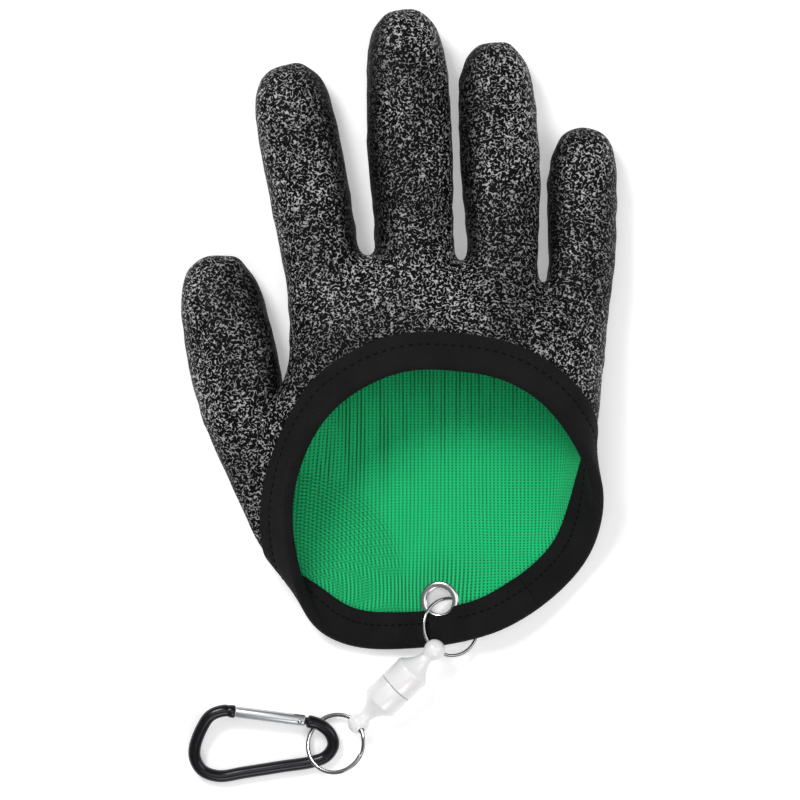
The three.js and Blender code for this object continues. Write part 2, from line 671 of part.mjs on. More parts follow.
const flat = (place) =>
  new THREE.Matrix4().makeTranslation(place).multiply(new THREE.Matrix4().makeRotationZ(gateAngle));
const pinBore = (radius, length) =>
  placed(cylinder(radius, length, clipSides), flat(pinPlace).multiply(upright));
const tongueLength = pinPlace.distanceTo(hingeEnd) + tongue.reach + hook.rod / 4;
const tongueMiddle = pinPlace
  .clone()
  .addScaledVector(gateWay, tongueLength / 2 - tongue.reach);
const tongueBox = (room, height, reach) =>
  placed(
    new THREE.BoxGeometry(tongueLength + 2 * reach, height, tongue.thickness + room),
    flat(tongueMiddle),
  );

// The gate's slot reaches past the corners of the tongue as they turn about the pin
const slotReach = Math.hypot(tongue.reach, tongue.height / 2) - tongue.reach + clearance;
const hookFrame = toSolid(hookRod)
  .add(toSolid(tongueBox(0, tongue.height, 0)))
  .subtract(toSolid(pinBore(pin.diameter / 2 + clearance, 2 * hook.rod)));
addPiece(hookGroup, "hook_frame", toGeometry(hookFrame), 0x121214, 0.3, 0.6);

const gateLength = gateStart.distanceTo(pinPlace) + hook.gateRod / 2;
const gateMiddle = gateStart.clone().addScaledVector(gateWay, gateLength / 2);
const lying = new THREE.Matrix4().makeRotationZ(Math.PI / 2);
const gateRod = toSolid(
  placed(cylinder(hook.gateRod / 2, gateLength, gateSides), flat(gateMiddle).multiply(lying)),
);
const straightPart = gateStart.clone().lerp(pinPlace, 0.5);
const gateKept = toSolid(
  placed(
    new THREE.BoxGeometry(gateStart.distanceTo(pinPlace), hook.rod, hook.rod),
    flat(straightPart),
  ),
).add(toSolid(pinBore(hook.gateRod / 2, hook.rod)));
const hookGate = gateRod
  .intersect(gateKept)
  .subtract(toSolid(tongueBox(2 * clearance, 2 * hook.rod, slotReach)))
  .subtract(toSolid(pinBore(pin.diameter / 2 + clearance, 2 * hook.rod)));
addPiece(hookGroup, "hook_gate", toGeometry(hookGate), 0xd6d7da, 0.4, 1);
const pinLength = hook.gateRod - 2 * pin.short;
addPiece(hookGroup, "gate_pin", pinBore(pin.diameter / 2, pinLength), 0x8c8e93, 0.35, 1);

// The origin is on the floor under the middle of the whole thing
const part = new THREE.Group();
part.add(glove);
part.updateMatrixWorld(true);
const box = new THREE.Box3().setFromObject(part, true);
const middle = box.getCenter(new THREE.Vector3());
glove.position.set(-middle.x, -middle.y, -box.min.z);

export default part;
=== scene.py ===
"""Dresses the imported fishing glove: crinkled rubber coating, ribbed knit liner, stitched tape on
the rim, and the rings, release clip and snap hook that hang from it. Lengths are in millimetres
in the settings and in metres in the meshes."""

import json
import math

import bmesh
import bpy
import numpy as np
from mathutils.bvhtree import BVHTree
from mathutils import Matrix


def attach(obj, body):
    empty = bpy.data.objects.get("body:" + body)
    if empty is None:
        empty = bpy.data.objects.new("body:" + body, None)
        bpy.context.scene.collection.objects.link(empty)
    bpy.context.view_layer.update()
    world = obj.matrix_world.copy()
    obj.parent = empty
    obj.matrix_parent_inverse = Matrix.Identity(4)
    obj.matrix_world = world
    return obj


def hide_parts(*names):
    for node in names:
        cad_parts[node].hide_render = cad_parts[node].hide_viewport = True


bl_info = {
    "name": "Fishing Glove Dresser",
    "version": (1, 0, 0),
    "blender": (4, 5, 0),
    "location": "View3D > Sidebar > Glove",
    "description": "Builds the cloth, rubber, thread and metal of a coated fishing glove",
    "category": "Object",
}

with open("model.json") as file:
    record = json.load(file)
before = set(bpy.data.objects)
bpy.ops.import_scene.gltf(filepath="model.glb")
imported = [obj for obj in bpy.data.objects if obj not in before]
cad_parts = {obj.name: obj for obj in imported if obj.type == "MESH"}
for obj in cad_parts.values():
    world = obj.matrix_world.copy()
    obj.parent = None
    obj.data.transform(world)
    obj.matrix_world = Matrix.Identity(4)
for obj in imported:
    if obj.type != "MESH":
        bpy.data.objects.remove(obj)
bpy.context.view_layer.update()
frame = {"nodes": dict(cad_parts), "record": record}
MM = 0.001
# How far a soft piece stays above the floor, and the angle past which an edge is drawn sharp
FLOOR_GAP = 0.03 * MM
SHARP = 0.7
# Points of the coating this near to the liner belong to its inner face
INNER_REACH = 0.8 * MM
# Radius of the bore through a ball of the clip and of the hole for the gate's pin, in millimetres
BORE = 1.15
PIN_HOLE = 0.85


def length(name, text, size, **more):
    """A size in millimetres that a user may change."""
    return bpy.props.FloatProperty(name=name, description=text, default=size, min=0, **more)


def colour(name, text, rgb):
    """A base colour that a user may change."""
    return bpy.props.FloatVectorProperty(
        name=name, description=text, subtype="COLOR", size=4, min=0, max=1, default=(*rgb, 1)
    )


class GloveSizes(bpy.types.PropertyGroup):
    """Sizes of the cloth layers, the tape and its thread, in millimetres."""

    coating: length("Coating", "Thickness of the rubber", 1.0)
    liner_depth: length("Liner depth", "Depth of the knit under the rubber's face", 1.3)
    liner: length("Liner", "Thickness of the knit", 0.9)
    tape_width: length("Tape width", "How far the tape reaches from the fold", 10.8)
    tape: length("Tape", "Thickness of the tape", 0.95)
    stitch_inset: length("Stitch inset", "From the tape's edge to its stitch line", 4.2)
    stitch: length("Stitch", "Length of one stitch", 1.9)
    stitch_pitch: length("Stitch pitch", "From one stitch to the next", 2.6)
    thread: length("Thread", "Width of the thread", 0.62)
    wale: length("Wale", "Width of one column of knit", 1.3)
    course: length("Course", "Height of one row of knit", 1.0)


class HardwareSizes(bpy.types.PropertyGroup):
    """Sizes of the eyelet, rings, clip and hook, in millimetres."""

    eyelet_flange: length("Eyelet flange", "Diameter of the eyelet's flange", 13.5)
    eyelet_hole: length("Eyelet hole", "Diameter of the hole", 8.8)
    ring_outer: length("Glove ring", "Outer diameter of the plain ring", 20.8)
    ring_wire: length("Ring wire", "Diameter of its wire", 1.15)
    clip_body: length("Clip body", "Diameter of the clip's body", 12.6)
    clip_ball: length("Clip ball", "Diameter of its ball ends", 7.3)
    clip_neck: length("Clip neck", "Diameter of its necks", 4.4)
    clip_length: length("Clip body length", "Length of both halves' bodies together", 17.0)
    ball_spacing: length("Ball spacing", "Between the two balls' centres", 36.6)
    split_outer: length("Split ring", "Outer diameter of the split ring", 21.4)
    split_wire: length("Split wire", "Width of its flat wire", 1.3)
    split_band: length("Split band", "Thickness of its flat wire", 0.6)
    hook_rod: length("Hook rod", "Diameter of the hook's rod", 4.2)
    hook_length: length("Hook length", "Over the whole hook", 51.5)
    hook_width: length("Hook width", "Across the whole hook", 26.8)
    gate_rod: length("Gate rod", "Diameter of the gate", 3.9)


class GloveColours(bpy.types.PropertyGroup):
    """Base colours of the materials."""

    rubber: colour("Rubber", "Dark rubber in the valleys of the crinkle", (0.002, 0.002, 0.0024))
    # Painted highlight: the light grey given to the crinkle's ridges in place of their gleam
    crinkle: colour("Crinkle", "The same on the ridges", (0.6, 0.6, 0.615))
    knit: colour("Knit", "Yarn of the liner", (0.004, 0.54, 0.18))
    # Painted shade of the knit in the grooves between the ribs and in the gusset rows; the small
    # holes take it too
    knit_dark: colour("Knit shade", "The same between the ribs", (0.002, 0.16, 0.04))
    tape: colour("Tape", "Cloth of the tape", (0.006, 0.006, 0.0065))
    thread: colour("Thread", "Thread of the stitches", (0.0008, 0.0008, 0.001))
    steel: colour("Steel", "Polished steel", (0.72, 0.72, 0.73))
    plastic: colour("Plastic", "White plastic of the clip", (0.93, 0.915, 0.925))
    black: colour("Black", "Anodised black of the hook", (0.016, 0.016, 0.019))
    gate: colour("Gate", "Bare aluminium of the gate", (0.62, 0.63, 0.66))


def new_mesh(name, points, faces, uv=None, smooth=True):
    """An object whose points are in metres, with one UV for each point where uv is given."""
    mesh = bpy.data.meshes.new(name)
    mesh.from_pydata(np.asarray(points).tolist(), [], np.asarray(faces).tolist())
    mesh.polygons.foreach_set("use_smooth", [smooth] * len(mesh.polygons))
    if uv is not None:
        corner = np.empty(len(mesh.loops), dtype=np.int32)
        mesh.loops.foreach_get("vertex_index", corner)
        layer = mesh.uv_layers.new(name="cloth")
        layer.data.foreach_set("uv", np.asarray(uv)[corner].ravel())
    mesh.update()
    made = bpy.data.objects.new(name, mesh)
    bpy.context.collection.objects.link(made)
    return made


def vectors(mesh, kind):
    """One vector for each vertex of a mesh as an array: its place, "co", or its normal."""
    flat = np.empty(3 * len(mesh.vertices))
    mesh.vertices.foreach_get(kind, flat)
    return flat.reshape(-1, 3)


def points_of(node):
    """The points of a CAD node as an array, in metres."""
    return vectors(frame["nodes"][node].data, "co")


def corners_of(node):
    """The points of a CAD node, each place once."""
    return np.unique(np.round(points_of(node), 7), axis=0)


def unit(v):
    """Vectors scaled to length one along the last axis."""
    return v / np.maximum(np.linalg.norm(v, axis=-1, keepdims=True), 1e-12)


def grid_faces(rows, columns, wrap_rows=False, wrap_columns=False):
    """Four-sided faces between the points of a grid, row by row, joined round where it wraps."""
    r = np.arange(rows if wrap_rows else rows - 1)[:, None]
    c = np.arange(columns if wrap_columns else columns - 1)[None, :]
    r2, c2 = (r + 1) % rows, (c + 1) % columns
    quads = [r * columns + c, r * columns + c2, r2 * columns + c2, r2 * columns + c]
    return np.stack(quads, axis=-1).reshape(-1, 4)


def axes_round(normal):
    """Two unit vectors square to a normal, the first as level as it can be and away from +Y."""
    x = unit(np.cross((0, 1, 0), normal))
    return x, np.cross(normal, x)


def circle(centre, normal, radius, t):
    """Points round a centre for a column of angles, with the radius in millimetres.
    point = centre + radius (cos t X + sin t Y)."""
    x, y = axes_round(normal)
    return centre + radius * MM * (np.cos(t) * x + np.sin(t) * y)


def turned(name, profile, centre, axis, steps=48):
    """A surface of revolution: radius and height pairs carried round an axis through centre.
    point = centre + r (cos a X + sin a Y) + h axis."""
    profile = np.asarray(profile, dtype=float) * MM
    x, y = axes_round(axis)
    a = np.linspace(0, 2 * np.pi, steps, endpoint=False)
    ring = np.cos(a)[:, None] * x + np.sin(a)[:, None] * y
    points = centre + profile[:, None, 0:1] * ring[None] + profile[:, None, 1:2] * axis
    return close_ends(name, points.reshape(-1, 3), grid_faces(len(profile), steps, wrap_columns=True))


def close_ends(name, points, faces, uv=None):
    """Makes the object, merges the points that meet on an axis and turns its faces outwards."""
    made = new_mesh(name, points, faces, uv)
    work = bmesh.new()
    work.from_mesh(made.data)
    bmesh.ops.remove_doubles(work, verts=work.verts, dist=1e-6)
    bmesh.ops.recalc_face_normals(work, faces=work.faces)
    work.to_mesh(made.data)
    work.free()
    return made


def tube(name, path, half_across, half_up, up, sides=20, closed=False, power=1.0):
    """A section carried along a path. At each station the section is
    half_across cos(a) across + half_up sin(a) up, squared off by the power."""
    path = np.asarray(path)
    if closed:
        way = unit(np.roll(path, -1, 0) - np.roll(path, 1, 0))
    else:
        way = unit(np.gradient(path, axis=0))
    up = unit(np.broadcast_to(up, path.shape) - way * np.sum(way * up, axis=1, keepdims=True))
    across = np.cross(way, up)
    a = np.linspace(0, 2 * np.pi, sides, endpoint=False)
    cos, sin = (np.sign(v) * np.abs(v) ** power for v in (np.cos(a), np.sin(a)))
    half_across = np.broadcast_to(half_across, len(path))[:, None, None]
    half_up = np.broadcast_to(half_up, len(path))[:, None, None]
    ring = half_across * cos[None, :, None] * across[:, None]
    ring = ring + half_up * sin[None, :, None] * up[:, None]
    points = (path[:, None] + ring).reshape(-1, 3)
    faces = grid_faces(len(path), sides, wrap_rows=closed, wrap_columns=True)
    if closed:
        return close_ends(name, points, faces)
    ends = [np.tile(end, (sides, 1)) for end in (path[0], path[-1])]
    points = np.vstack([ends[0], points, ends[1]])
    return close_ends(name, points, grid_faces(len(path) + 2, sides, wrap_columns=True))


def smooth_curve(knots, steps):
    """A curve through the knots: a Catmull-Rom spline with knot spacing by the square root of the
    distances, worked out by three rounds of blending."""
    knots = np.asarray(knots, dtype=float)
    p = np.array([2 * knots[0] - knots[1], *knots, 2 * knots[-1] - knots[-2]])
    gaps = np.maximum(np.linalg.norm(np.diff(p, axis=0), axis=1), 1e-9) ** 0.5
    t = np.concatenate([[0], np.cumsum(gaps)])
    u = np.linspace(0, len(knots) - 1, steps)
    i = np.minimum(u.astype(int), len(knots) - 2)
    s = (t[i + 1] + (u - i) * (t[i + 2] - t[i + 1]))[:, None]
    (p0, t0), (p1, t1), (p2, t2), (p3, t3) = ((p[i + k], t[i + k][:, None]) for k in range(4))

    def blend(a, ta, b, tb):
        return (a * (tb - s) + b * (s - ta)) / (tb - ta)

    a, b, c = blend(p0, t0, p1, t1), blend(p1, t1, p2, t2), blend(p2, t2, p3, t3)
    return blend(blend(a, t0, b, t2), t1, blend(b, t1, c, t3), t2)


def plane_of(node):
    """A flat CAD node's plane: the mean of its points, the middle of its box, its upward normal."""
    p = corners_of(node)
    middle = (p.min(0) + p.max(0)) / 2
    normal = np.linalg.svd(p - p.mean(0), full_matrices=False)[2][2]
    return p.mean(0), middle, normal * np.sign(normal[2])


def bumps(p, seed, count, size, low, high):
    """Smooth noise of about one: plane waves with random ways and phases, and lengths near size."""
    rng = np.random.default_rng(seed)
    way = unit(rng.normal(size=(count, 3)))
    way = way * (2 * np.pi / (size * rng.uniform(low, high, (count, 1))))
    return np.sin(p @ way.T + rng.uniform(0, 2 * np.pi, count)).sum(1) / math.sqrt(count)


def smoothstep(x, low, high):
    """Nought below low, one above high, and a smooth step between."""
    t = np.clip((x - low) / (high - low), 0, 1)
    return t * t * (3 - 2 * t)


class Skin:
    """The glove's smooth outer face: points, normals, faces, open loops and the mouth's loop."""

    def __init__(self):
        """Keeps the outer face of the coating, with its triangles joined in pairs."""
        shell = bmesh.new()
        shell.from_mesh(frame["nodes"]["latex_coating"].data)
        bmesh.ops.remove_doubles(shell, verts=shell.verts, dist=5e-6)
        lining = bmesh.new()
        lining.from_mesh(frame["nodes"]["knit_liner"].data)
        tree = BVHTree.FromBMesh(lining)
        lining.free()
        near = [v for v in shell.verts if tree.find_nearest(v.co)[3] < INNER_REACH]
        bmesh.ops.delete(shell, geom=near, context="VERTS")
        self.keep_largest(shell)
        open_edges = [e for e in shell.edges if e.is_boundary]
        bmesh.ops.holes_fill(shell, edges=open_edges, sides=6)
        bmesh.ops.join_triangles(
            shell, faces=shell.faces, angle_face_threshold=0.9, angle_shape_threshold=3.1
        )
        cage = bpy.data.meshes.new("skin_cage")
        shell.to_mesh(cage)
        shell.free()
        self.smooth(cage)

    @staticmethod
    def keep_largest(shell):
        """Deletes every island of faces but the largest."""
        left, best = set(shell.faces), set()
        while left:
            island, queue = set(), [left.pop()]
            while queue:
                face = queue.pop()
                island.add(face)
                for edge in face.edges:
                    for other in edge.link_faces:
                        if other in left:
                            left.discard(other)
                            queue.append(other)
            best = max(best, island, key=len)
        others = [f for f in shell.faces if f not in best]
        bmesh.ops.delete(shell, geom=others, context="FACES")

    def smooth(self, cage):
        """Two rounds of Catmull-Clark, with the cage first moved out by what they take in, and
        normals averaged three times over the neighbouring faces."""
        holder = bpy.data.objects.new("skin_cage", cage)
        bpy.context.collection.objects.link(holder)
        finer = holder.modifiers.new("finer", "SUBSURF")
        finer.levels = finer.render_levels = 2
        start = vectors(cage, "co")
        for last in (False, True):
            bpy.context.view_layer.update()
            made = holder.evaluated_get(bpy.context.evaluated_depsgraph_get())
            mesh = bpy.data.meshes.new_from_object(made)
            self.points = vectors(mesh, "co")
            if not last:
                moved = 2 * start - self.points[: len(start)]
                cage.vertices.foreach_set("co", moved.ravel())
                cage.update()
        self.faces = np.array([p.vertices[:] for p in mesh.polygons])
        self.normals = vectors(mesh, "normal")
        for _ in range(3):
            around_face = self.normals[self.faces].sum(1)
            total = np.zeros_like(self.normals)
            for corner in self.faces.T:
                np.add.at(total, corner, around_face)
            self.normals = unit(total)
        self.tree = BVHTree.FromPolygons(self.points.tolist(), self.faces.tolist())
        self.loops = self.open_loops()
        self.rim = np.array(max(self.loops, key=self.reach))
        bpy.data.objects.remove(holder)
        bpy.data.meshes.remove(mesh)

    def reach(self, loop):
        """The longest side of a loop's box: the mouth's is longer than the eyelet hole's."""
        return np.ptp(self.points[loop], axis=0).max()

    def open_loops(self):
        """The ids of the points along each loop of open edges, in order."""
        sides = np.stack([self.faces, np.roll(self.faces, -1, 1)], axis=-1).reshape(-1, 2)
        found = np.unique(np.sort(sides, axis=1), axis=0, return_index=True, return_counts=True)
        follow = {int(a): int(b) for a, b in sides[found[1][found[2] == 1]]}
        loops = []
        while follow:
            start, ahead = follow.popitem()
            loop = [start]
            while ahead != start:
                loop.append(ahead)
                ahead = follow.pop(ahead)
            loops.append(loop)
        return loops

    def along_surface(self, start, way, normal, lengths):
        """Walks from start points over the skin: each step moves on by a short length and drops
        back to the nearest point of the skin. Returns points and normals for each length."""
        points, normals = [start], [normal]
        p, w, n = start.copy(), way.copy(), normal.copy()
        for step in np.diff(lengths):
            ahead = p + w * step
            found = [self.tree.find_nearest(q) for q in ahead.tolist()]
            q = np.array([f[0] for f in found])
            face_normal = np.array([f[1] for f in found])
            face_normal *= np.sign(np.sum(face_normal * n, axis=1, keepdims=True))
            n = unit(0.5 * n + 0.5 * face_normal)
            w = unit((q - p) - n * np.sum((q - p) * n, axis=1, keepdims=True))
            w = unit(around(w, 2))
            p = q
            points.append(p)
            normals.append(n)
        return np.array(points), np.array(normals)


def around(values, reach):
    """A closed row of values smoothed by a running mean."""
    return sum(np.roll(values, k, axis=0) for k in range(-reach, reach + 1)) / (2 * reach + 1)


def resample(loop, count):
    """A closed polyline cut into count equal lengths, and its whole length."""
    closed = np.vstack([loop, loop[:1]])
    run = np.concatenate([[0], np.cumsum(np.linalg.norm(np.diff(closed, axis=0), axis=1))])
    at = np.linspace(0, run[-1], count, endpoint=False)
    return np.stack([np.interp(at, run, closed[:, k]) for k in range(3)], axis=1), run[-1]


def above_floor(points):
    """The points, with those that sink below the floor lifted just clear of it."""
    points[..., 2] = np.maximum(points[..., 2], FLOOR_GAP)
    return points


def shell_object(name, skin, points, normals, wall, uv=None):
    """A closed shell: a face and the same face moved in by the wall, joined along every edge."""
    count = len(points)
    inner = points - normals * wall
    faces = [skin.faces, skin.faces[:, ::-1] + count]
    for loop in skin.loops:
        a, b = np.array(loop), np.roll(loop, -1)
        faces.append(np.stack([b, a, a + count, b + count], axis=1))
    both = None if uv is None else np.vstack([uv, uv])
    return new_mesh(name, above_floor(np.vstack([points, inner])), np.vstack(faces), both)


def cut_out(piece, cutters):
    """Takes the cutters away from a piece, and deletes them."""
    for cutter in cutters:
        cut = piece.modifiers.new("cut", "BOOLEAN")
        cut.operation, cut.solver, cut.object = "DIFFERENCE", "EXACT", cutter
    bpy.context.view_layer.update()
    made = bpy.data.meshes.new_from_object(
        piece.evaluated_get(bpy.context.evaluated_depsgraph_get())
    )
    piece.modifiers.clear()
    piece.data = made
    made.polygons.foreach_set("use_smooth", [True] * len(made.polygons))
    made.set_sharp_from_angle(angle=SHARP)
    for cutter in cutters:
        bpy.data.objects.remove(cutter)


def rod_profile(radius, reach):
    """Radius and height pairs of a plain rod that reaches as far either way."""
    return [(0, -reach), (radius, -reach), (radius, reach), (0, reach)]


SKIN = Skin()


class Nodes:
    """Shorthand for building a material out of nodes."""

    def __init__(self, name):
        self.material = bpy.data.materials.get(name) or bpy.data.materials.new(name)
        self.material.use_nodes = True
        self.tree = self.material.node_tree
        self.shader = self.tree.nodes["Principled BSDF"]

    def add(self, kind, inputs=None, **settings):
        """A node with its settings, and its inputs set or linked."""
        node = self.tree.nodes.new(kind)
        for key, value in settings.items():
            setattr(node, key, value)
        for key, value in (inputs or {}).items():
            self.feed(node.inputs[key], value)
        return node

    def feed(self, socket, value):
        """Links a socket to another, or sets its value."""
        if isinstance(value, bpy.types.NodeSocket):
            self.tree.links.new(value, socket)
        else:
            socket.default_value = value

    def set(self, **values):
        """Feeds the shader's inputs, whose names are written with underscores."""
        for key, value in values.items():
            self.feed(self.shader.inputs[key.replace("_", " ")], value)

    def math(self, operation, *values):
        """One step of arithmetic."""
        node = self.add("ShaderNodeMath", operation=operation)
        for socket, value in zip(node.inputs, values):
            self.feed(socket, value)
        return node.outputs[0]

    def plus(self, a, b):
        """The sum of two values."""
        return self.math("ADD", a, b)

    def minus(self, a, b):
        """The first value less the second."""
        return self.math("SUBTRACT", a, b)

    def times(self, *values):
        """Values multiplied one after another."""
        total = values[0]
        for value in values[1:]:
            total = self.math("MULTIPLY", total, value)
        return total

    def waves(self, value, length):
        """A sine that comes round once in each length."""
        return self.math("SINE", self.times(value, 2 * math.pi / length))

    def from_middle(self, value):
        """How far the fraction of a value is from a half: nought mid-way, a half at the ends."""
        return self.math("ABSOLUTE", self.minus(self.math("FRACT", value), 0.5))

    def mix(self, share, a, b):
        """A blend of two colours, the second at a share of one."""
        node = self.add("ShaderNodeMix", data_type="RGBA")
        for key, value in ((0, share), (6, a), (7, b)):
            self.feed(node.inputs[key], value)
        return node.outputs[2]

    def object_place(self):
        """The point's place on the object, in metres."""
        return self.add("ShaderNodeTexCoord").outputs["Object"]

    def uv(self):
        """The two values of the piece's own map."""
        place = self.add("ShaderNodeUVMap", uv_map="cloth").outputs[0]
        split = self.add("ShaderNodeSeparateXYZ", {0: place})
        return split.outputs[0], split.outputs[1]

    def distance(self, place, point):
        """How far a place is from a point."""
        node = self.add("ShaderNodeVectorMath", {0: place, 1: tuple(point)}, operation="DISTANCE")
        return node.outputs["Value"]

    def noise(self, place, scale, detail, rough=0.5):
        """Noise with so many features to the metre."""
        inputs = {"Vector": place, "Scale": scale, "Detail": detail, "Roughness": rough}
        return self.add("ShaderNodeTexNoise", inputs).outputs[0]

    def ramp(self, value, low, high):
        """A smooth step from nought at low to one at high."""
        inputs = {"Value": value, "From Min": low, "From Max": high}
        return self.add("ShaderNodeMapRange", inputs, interpolation_type="SMOOTHSTEP").outputs[0]

    def bump(self, height, depth_mm):
        """A normal bent by a height of one for each depth."""
        inputs = {"Height": height, "Distance": depth_mm * MM, "Strength": 1.0}
        return self.add("ShaderNodeBump", inputs).outputs[0]


def rubber_material():
    """Crinkled rubber: worm-like ridges where a warped noise crosses its middle value, broken up
    by a second noise, over dark valleys. The ridges carry a painted highlight in the crinkle colour,
    uneven in random patches and taken off the finger sides by painted shade."""
    c = bpy.context.scene.glove_colours
    m = Nodes("crinkled_rubber")
    place = m.object_place()
    warp = m.add("ShaderNodeTexNoise", {"Vector": place, "Scale": 680.0, "Detail": 0.0}).outputs[1]
    moved = m.add("ShaderNodeVectorMath", {0: warp}, operation="SCALE")
    moved.inputs["Scale"].default_value = 0.95 * MM
    shifted = m.add("ShaderNodeVectorMath", {0: moved.outputs[0], 1: place}, operation="ADD")
    ridges = m.noise(shifted.outputs[0], 840.0, 0.4)
    off = m.math("ABSOLUTE", m.minus(ridges, 0.5))
    worm = m.math("MAXIMUM", m.minus(1.0, m.times(off, 6.0)), 0.0)
    broken = m.ramp(m.noise(place, 960.0, 1.0), 0.34, 0.54)
    height = m.times(worm, m.plus(0.35, m.times(broken, 0.65)))
    # Random patches that vary the strength of the ridges' painted highlight
    highlight_patches = m.ramp(m.noise(place, 38.0, 3.0), 0.3, 0.7)
    # Share of the painted highlight: by the ridges' height, the random patches and the painted shade
    # on the finger sides held in the map's first value
    lit = m.times(m.ramp(height, 0.4, 0.95), m.plus(0.4, m.times(highlight_patches, 0.6)), m.uv()[0])
    m.set(Base_Color=m.mix(lit, c.rubber, c.crinkle), Roughness=0.5, Specular_IOR_Level=0.08)
    m.set(Normal=m.bump(height, 0.38))
    return m.material


def knit_material():
    """Ribbed knit: wales across U with painted shade in the grooves between them, and small dark
    holes where the loops of each row meet. The painted groove shade fades towards the lower edge and
    gathers by the eyelet, and gusset rows of painted shade run in arcs round the base of the thumb."""
    c, s = bpy.context.scene.glove_colours, bpy.context.scene.glove_sizes
    m = Nodes("green_knit")
    u, v = m.uv()
    place = m.object_place()
    inside = m.from_middle(m.math("DIVIDE", u, s.wale * MM))
    loop = m.from_middle(m.plus(m.math("DIVIDE", v, s.course * MM), m.times(inside, 1.3)))
    groove = m.ramp(inside, 0.2, 0.48)
    hole = m.times(m.ramp(inside, 0.2, 0.42), m.ramp(loop, 0.18, 0.42))
    loose = m.ramp(m.plus(v, m.times(u, -0.5)), -4 * MM, -38 * MM)
    drawn = m.add("ShaderNodeVectorMath", {0: place, 1: (1.0, 0.05, 1.0)}, operation="MULTIPLY")
    spread = m.noise(drawn.outputs[0], 420.0, 1.0)
    ribbed = m.times(m.minus(1.0, m.times(loose, 0.85)), m.ramp(spread, 0.4, 0.65))
    radius = m.distance(place, (-38 * MM, -66 * MM, 5 * MM))
    inner = m.ramp(radius, 43 * MM, 38 * MM)
    gusset = m.times(m.ramp(m.waves(radius, 1.25 * MM), 0.0, 1.0), inner)
    ribbed = m.times(ribbed, m.minus(1.0, m.times(inner, 0.8)))
    pulled = m.ramp(m.distance(place, plane_of("eyelet")[1]), 20 * MM, 8 * MM)
    ribbed = m.math("MAXIMUM", ribbed, m.times(pulled, 0.8))
    # Painted shade in the grooves and gusset rows, together with the small dark holes
    dark = m.plus(m.times(groove, ribbed, 0.95), m.times(hole, 0.95))
    dark = m.plus(dark, m.times(gusset, 0.5))
    height = m.minus(m.times(m.noise(place, 3200.0, 2.0), 0.3), dark)
    patch = m.noise(place, 60.0, 2.0)
    share = m.minus(m.plus(0.85, m.times(patch, 0.3)), dark)
    share = m.math("MINIMUM", m.math("MAXIMUM", share, 0.0), 1.0)
    m.set(Base_Color=m.mix(share, c.knit_dark, c.knit), Roughness=0.85, Specular_IOR_Level=0.3)
    m.set(Sheen_Weight=0.1, Sheen_Roughness=0.5, Normal=m.bump(height, 0.3))
    return m.material


def tape_material():
    """Ribbed tape: fine ribs across its length, and a loose weave over them."""
    c = bpy.context.scene.glove_colours
    m = Nodes("ribbed_tape")
    u, v = m.uv()
    place = m.object_place()
    rib = m.waves(u, 0.62 * MM)
    yarn = m.waves(v, 0.5 * MM)
    fuzz = m.noise(place, 2600.0, 2.0)
    height = m.plus(m.plus(m.times(rib, 0.5), m.times(yarn, 0.18)), m.times(fuzz, 0.5))
    patch = m.noise(place, 90.0, 3.0)
    # Painted highlight: the tape is lighter on the crests of its ribs, yarns and fuzz, in random
    # patches
    share = m.times(m.ramp(height, -0.4, 0.9), m.ramp(patch, 0.2, 0.8))
    lighter = tuple(min(1.0, 2.3 * x) for x in c.tape[:3]) + (1,)
    m.set(Base_Color=m.mix(share, c.tape, lighter), Roughness=0.75, Specular_IOR_Level=0.12)
    m.set(Sheen_Weight=0.02, Sheen_Roughness=0.4, Normal=m.bump(height, 0.11))
    return m.material


def thread_material():
    """Thread with fine lighter strands."""
    c = bpy.context.scene.glove_colours
    m = Nodes("black_thread")
    strands = m.noise(m.object_place(), 2400.0, 1.0)
    m.set(Base_Color=m.mix(strands, c.thread, (0.004, 0.004, 0.0045, 1)), Roughness=0.8)
    m.set(Normal=m.bump(strands, 0.08), Specular_IOR_Level=0.1)
    return m.material


def metal_material(name, rgb, roughness, scratch, metallic=1.0):
    """Metal with fine scratches and faint smears that change its roughness."""
    m = Nodes(name)
    place = m.object_place()
    smear = m.noise(place, 160.0, 3.0)
    fine = m.noise(place, 1800.0, 2.0)
    rough = m.plus(roughness - 0.05, m.times(smear, 0.12))
    darker = tuple(0.82 * x for x in rgb[:3]) + (1,)
    m.set(Base_Color=m.mix(smear, rgb, darker), Metallic=metallic, Roughness=rough)
    m.set(Normal=m.bump(fine, scratch))
    return m.material


def plastic_material():
    """Moulded white plastic with faint scuffs."""
    c = bpy.context.scene.glove_colours
    m = Nodes("white_plastic")
    place = m.object_place()
    scuff = m.ramp(m.noise(place, 220.0, 4.0, 0.6), 0.45, 0.75)
    grey = tuple(0.9 * x for x in c.plastic[:3]) + (1,)
    m.set(Base_Color=m.mix(m.times(scuff, 0.35), c.plastic, grey))
    m.set(Roughness=m.plus(0.2, m.times(scuff, 0.12)), Coat_Weight=0.3)
    m.set(Normal=m.bump(m.noise(place, 900.0, 1.0), 0.01), Specular_IOR_Level=0.5)
    return m.material


def dress(piece, material, body, slot, *nodes):
    """Gives a piece its material and its body, and hides the CAD nodes that it stands for; the slot
    is not used.
    """
    piece.data.materials.clear()
    piece.data.materials.append(material)
    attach(piece, body)
    if nodes:
        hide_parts(*nodes)
    return piece


